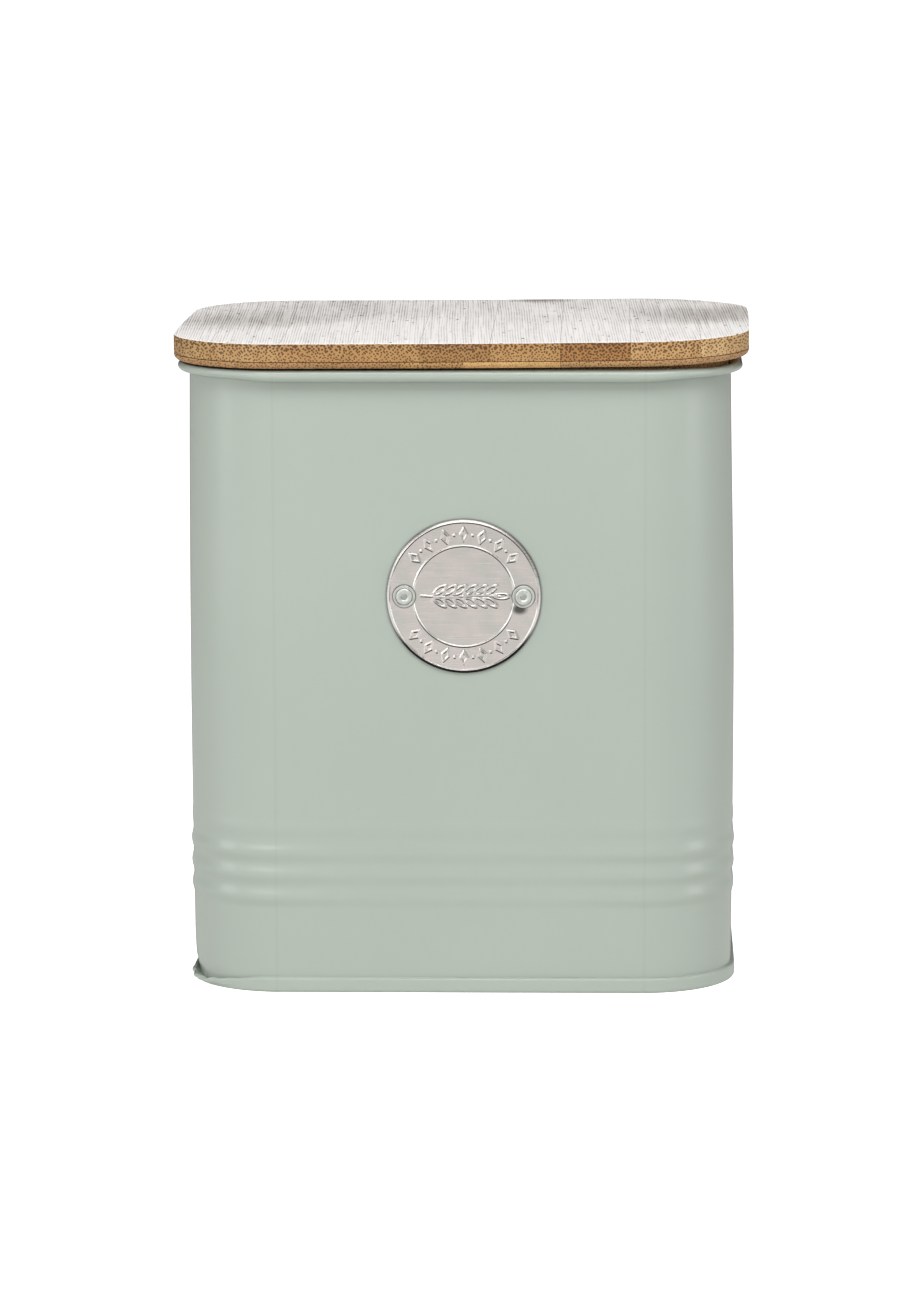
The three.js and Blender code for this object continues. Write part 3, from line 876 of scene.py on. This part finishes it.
def badge_mesh():
    segments = 640
    radii = spaced([
        (0, 0.2 * MM), (BADGE_RIDGE_R - 0.6 * MM, 0.08 * MM), (BADGE_RIDGE_R + 0.6 * MM, 0.17 * MM),
        (BADGE_R - BADGE_RIM_WIDTH - 0.1 * MM, 0.09 * MM), (BADGE_R, 0),
    ])
    bm = bmesh.new()
    front_y = BADGE_BACK_Y - BADGE_FACE
    middle = bm.verts.new((BADGE_CENTRE.x, front_y - badge_relief(0, 0, 0), BADGE_CENTRE.z))
    rings = []
    for r in radii:
        ring = []
        for i in range(segments):
            turn = 2 * math.pi * i / segments
            x, z = r * math.cos(turn), r * math.sin(turn)
            y = front_y - badge_relief(r, x, z)
            ring.append(bm.verts.new((BADGE_CENTRE.x + x, y, BADGE_CENTRE.z + z)))
        rings.append(ring)
    rings.append(circle(bm, BADGE_CENTRE, BADGE_R, BADGE_BACK_Y - 0.12 * MM, segments))
    rings.append(circle(bm, BADGE_CENTRE, BADGE_R - 0.12 * MM, BADGE_BACK_Y, segments))
    for i in range(segments):
        bm.faces.new((middle, rings[0][i], rings[0][(i + 1) % segments]))
    for a, b in zip(rings, rings[1:]):
        for i in range(segments):
            j = (i + 1) % segments
            bm.faces.new((a[i], b[i], b[j], a[j]))
    bm.faces.new(rings[-1])
    bmesh.ops.recalc_face_normals(bm, faces=bm.faces)
    return bm


badge = piece("badge", badge_mesh(), "canister", ["badge_plate"], BADGE_METAL, sharp=60)


# ---------------------------------------------------------------- rivets
def rivet_profile():
    """Distances are in front of the wall's outer face: bulb behind it, shank, flange and dished crown."""
    bore = MANDREL_R + 0.05 * MM
    seat = 0.6 * MM
    bulb = -SHEET - 0.05 * MM
    tail = bulb - 3 * MM
    crown = seat + RIVET_HEAD_HEIGHT
    edge = 0.2 * MM
    return [
        (bore, tail),
        (RIVET_SHANK_R, tail),
        (2.2 * MM, tail + 0.5 * MM),
        (2.4 * MM, tail + 1.2 * MM),
        (2.3 * MM, bulb - 0.5 * MM),
        (RIVET_SHANK_R, bulb),
        (RIVET_SHANK_R, seat),
        (RIVET_HEAD_R - 0.1 * MM, seat),
        *arc(RIVET_HEAD_R - edge, seat + edge, edge, -30, 90, 6),
        (2.86 * MM, seat + 2 * edge - 0.02 * MM),
        (2.74 * MM, seat + 2 * edge - 0.07 * MM),
        (2.62 * MM, seat + 2 * edge),
        *arc(1.95 * MM, crown - 0.6 * MM, 0.6 * MM, 12, 90, 6),
        (1.3 * MM, crown - 0.01 * MM),
        (1.2 * MM, crown - 0.1 * MM),
        (bore, crown - 0.16 * MM),
    ]


def pin_profile():
    tail = -SHEET - 3.15 * MM
    return [
        (0, tail - 1.2 * MM),
        (1.0 * MM, tail - 1.05 * MM),
        (1.4 * MM, tail - 0.6 * MM),
        (1.5 * MM, tail - 0.1 * MM),
        (1.4 * MM, tail),
        (MANDREL_R, tail),
        (MANDREL_R, 1.5 * MM),
        (0.8 * MM, 1.56 * MM),
        (0.4 * MM, 1.52 * MM),
        (0, 1.54 * MM),
    ]


def stand_proud(bm, centre, lift):
    """Leaves a rivet's head standing off the badge at its lower left, as if it was set a little askew."""
    for v in bm.verts:
        ahead = centre.y - v.co.y
        if ahead > 0.55 * MM:
            lean = (centre.x - v.co.x) * 0.5 + (centre.z - v.co.z) * 0.8
            v.co.y -= lift * (1 + lean / RIVET_HEAD_R) / 2
    return bm


rivet_centres = {}
for side, lift in RIVET_LIFT.items():
    low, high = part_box(f"rivet_{side}")
    centre = Vector(((low.x + high.x) / 2, WALL_FRONT_Y, (low.z + high.z) / 2))
    rivet_centres[side] = centre
    rivet = stand_proud(turned(rivet_profile(), 48, centre, False), centre, lift)
    piece(f"rivet_head_{side}", rivet, "canister", [f"rivet_{side}"], RIVET_METAL, sharp=50)
    pin = stand_proud(turned(pin_profile(), 32, centre, True), centre, lift)
    piece(f"pin_{side}", pin, "canister", [f"rivet_pin_{side}"], PIN_METAL, sharp=50)

for obj in (wall, badge):
    drilled(obj, RIVET_SHANK_R + HOLE_CLEARANCE, rivet_centres.values())

# ---------------------------------------------------------------- lid
lid_places = places(24, [], even(8))
PLY_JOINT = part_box(top_strips[4])[0].z - GLUE / 2


def lid_board():
    inner = LID_R - 8 * MM
    return sweep(
        [
            (inner, lid_lo.z),
            *arc(LID_R - LID_CHAMFER, lid_lo.z + LID_CHAMFER, LID_CHAMFER, -90, 0, 8),
            *arc(LID_R - LID_ARRIS, lid_hi.z - LID_ARRIS, LID_ARRIS, 0, 90, 4),
            (inner, lid_hi.z),
        ],
        lid_places, capped=True,
    )


def keep_side(bm, co, normal):
    """Cuts a solid with a plane, drops what the normal points to and closes the cut."""
    parts = list(bm.verts) + list(bm.edges) + list(bm.faces)
    cut = bmesh.ops.bisect_plane(bm, geom=parts, plane_co=co, plane_no=normal, clear_outer=True, dist=1e-7)
    rim = [e for e in cut["geom_cut"] if isinstance(e, bmesh.types.BMEdge)]
    if rim:
        bmesh.ops.holes_fill(bm, edges=rim, sides=0)


def warp_lid(bm):
    """The lid isn't quite flat: tilted and cupped up to the right, with its back sagging a little."""
    for v in bm.verts:
        x, y, _ = v.co
        reach = (x / lid_hi.x) ** 2
        v.co.z += math.tan(LID_TILT) * x + (LID_CUP_RIGHT if x > 0 else LID_CUP_LEFT) * reach
        v.co.z -= LID_SAG_BACK * smooth(y, -60 * MM, 60 * MM)
        v.co.z -= LID_DROOP_RIGHT * smooth(x, 45 * MM, 85 * MM) * smooth(y, 15 * MM, 60 * MM)
    return bm


def out_of_square(bm):
    """The board was cut a little out of square: its back corners come in, and its right end bulges."""
    for v in bm.verts:
        x, y, _ = v.co
        if x < 0:
            push = LID_SKEW_LEFT * smooth(y, -20 * MM, 45 * MM)
        else:
            push = LID_BULGE_RIGHT * smooth(y, -35 * MM, 15 * MM)
            push -= LID_SKEW_RIGHT * smooth(y, 30 * MM, 60 * MM)
        v.co.x += push * (x / lid_hi.x) ** 2
    return bm


def bamboo_tone(colour, crowding):
    """An object colour that carries a strip's own colour, and its fibres' crowding as the alpha."""
    return (*srgb(*colour)[:3], crowding)


def strip_piece(name, node, low_z, high_z, material, tone):
    low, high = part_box(node)
    bm = lid_board()
    if low.x > lid_lo.x + MM:
        keep_side(bm, (low.x, 0, 0), (-1, 0, 0))
    if high.x < lid_hi.x - MM:
        keep_side(bm, (high.x, 0, 0), (1, 0, 0))
    keep_side(bm, (0, 0, low_z), (0, 0, -1))
    keep_side(bm, (0, 0, high_z), (0, 0, 1))
    bmesh.ops.recalc_face_normals(bm, faces=bm.faces)
    obj = piece(name, warp_lid(out_of_square(bm)), "lid", [node], material)
    obj.color = bamboo_tone(*tone)
    bevel = obj.modifiers.new("eased_edges", "BEVEL")
    bevel.width = 0.05 * MM
    bevel.segments = 2
    bevel.limit_method = "ANGLE"
    bevel.angle_limit = math.radians(50)
    return obj


for i, (node, tone) in enumerate(zip(top_strips, TOP_STRIPS), 1):
    strip_piece(f"top_ply_{i}", node, PLY_JOINT + GLUE / 2, lid_hi.z + MM, LIMED, tone)
for i, (node, tone) in enumerate(zip(under_strips, UNDER_STRIPS), 1):
    strip_piece(f"under_ply_{i}", node, lid_lo.z - MM, PLY_JOINT - GLUE / 2, BAMBOO, tone)


def plug_mesh():
    r = plug_hi.x - CORNER_X
    groove_top = lid_lo.z - GROOVE_DROP
    groove_bottom = groove_top - GROOVE_HEIGHT
    easing = 0.8 * MM
    return sweep(
        [
            (r - 6 * MM, plug_lo.z),
            *arc(r - easing, plug_lo.z + easing, easing, -90, 0, 5),
            (r, groove_bottom),
            (r - GROOVE_DEPTH, groove_bottom),
            (r - GROOVE_DEPTH, groove_top),
            (r, groove_top),
            (r, plug_hi.z),
            (r - 6 * MM, plug_hi.z),
        ],
        lid_places, capped=True,
    )


def seal_mesh():
    """A back strip in the groove and two soft fins that lean up towards the wall."""
    r = plug_hi.x - CORNER_X
    back = r - GROOVE_DEPTH + 0.1 * MM
    root = r + 0.2 * MM
    tip = seal_hi.x - CORNER_X

    def fin(z):
        return [
            (root, z),
            (root + 0.5 * (tip - root), z + 0.28 * MM),
            *arc(tip - 0.15 * MM, z + 0.85 * MM, 0.15 * MM, -60, 90, 4),
            (root + 0.4 * (tip - root), z + 0.88 * MM),
            (root, z + 0.9 * MM),
        ]

    profile = [(back, seal_lo.z), (root, seal_lo.z)]
    profile += fin(seal_lo.z + 0.4 * MM) + fin(seal_lo.z + 2.2 * MM)
    profile += [(root, seal_hi.z), (back, seal_hi.z)]

    def bent(place, k, r, z):
        return -neck(place, z) * max(0, (r - root) / (tip - root)), 0

    return sweep(profile, lid_places, bent)


plug = piece("plug", warp_lid(plug_mesh()), "lid", ["lid_plug"], BAMBOO, sharp=40)
plug.color = bamboo_tone(*PLUG_TONE)
piece("seal", warp_lid(seal_mesh()), "lid", ["lid_seal"], SILICONE, sharp=50)


# ---------------------------------------------------------------- stage, light and camera
def floor():
    """Plain white to the camera, a pale, softly lit sweep to everything else."""
    s = Shader("studio_floor")
    grain = s.noise(s.coords, 40, 2)
    colour = s.mix(grain, srgb(214, 214, 212), srgb(220, 220, 218))
    seen = s.node("ShaderNodeLightPath").outputs["Is Camera Ray"]
    s.finish(Base_Color=colour, Roughness=0.9, Specular_IOR_Level=0.1)
    s.finish(Emission_Color=(1, 1, 1, 1), Emission_Strength=s.math("MAXIMUM", seen, FLOOR_GLOW))
    bpy.ops.mesh.primitive_plane_add(size=14, location=(0, 0, 0))
    obj = bpy.context.object
    obj.name = "studio_floor"
    obj.data.materials.append(s.material)


def area_light(name, place, size, power):
    data = bpy.data.lights.new(name, "AREA")
    data.shape = "RECTANGLE"
    data.size, data.size_y = size
    data.energy = power
    obj = bpy.data.objects.new(name, data)
    bpy.context.scene.collection.objects.link(obj)
    obj.location = place
    obj.rotation_euler = (Vector(LIGHT_AIM) - Vector(place)).to_track_quat("-Z", "Y").to_euler()


def world():
    """White to the camera; to everything else an even tent with a dark card straight behind the object."""
    made = bpy.data.worlds.new("tent")
    bpy.context.scene.world = made
    made.use_nodes = True
    tree = made.node_tree
    tree.nodes.clear()

    def node(kind, **settings):
        new = tree.nodes.new(kind)
        for key, value in settings.items():
            setattr(new, key, value)
        return new

    seen, tent = node("ShaderNodeBackground"), node("ShaderNodeBackground")
    direction = node("ShaderNodeSeparateXYZ")
    depth = node("ShaderNodeMapRange", interpolation_type="SMOOTHSTEP")
    depth.inputs["From Min"].default_value = 0.6
    depth.inputs["From Max"].default_value = 0.92
    depth.inputs["To Min"].default_value = TENT
    depth.inputs["To Max"].default_value = TENT_BEHIND
    mix, out = node("ShaderNodeMixShader"), node("ShaderNodeOutputWorld")
    links = [
        (node("ShaderNodeTexCoord").outputs["Generated"], direction.inputs[0]),
        (direction.outputs["Y"], depth.inputs["Value"]),
        (depth.outputs[0], tent.inputs["Strength"]),
        (node("ShaderNodeLightPath").outputs["Is Camera Ray"], mix.inputs[0]),
        (tent.outputs[0], mix.inputs[1]),
        (seen.outputs[0], mix.inputs[2]),
        (mix.outputs[0], out.inputs[0]),
    ]
    for start, end in links:
        tree.links.new(start, end)
    for background in (seen, tent):
        background.inputs["Color"].default_value = (1, 1, 1, 1)


def camera():
    data = bpy.data.cameras.new("camera")
    data.sensor_width = SENSOR
    data.sensor_fit = "AUTO"
    data.lens = FOCAL_LENGTH
    data.shift_x, data.shift_y = LENS_SHIFT
    obj = bpy.data.objects.new("camera", data)
    bpy.context.scene.collection.objects.link(obj)
    turn = Matrix.Rotation(-CAMERA_YAW, 4, "Z") @ Matrix.Rotation(math.pi / 2 - CAMERA_PITCH, 4, "X")
    obj.matrix_world = Matrix.Translation(CAMERA_PLACE) @ turn @ Matrix.Rotation(CAMERA_ROLL, 4, "Z")
    bpy.context.scene.camera = obj


floor()
world()
for name, (place, size, power) in LIGHTS.items():
    area_light(name, place, size, power)
camera()
bpy.context.scene.view_settings.view_transform = "Standard"
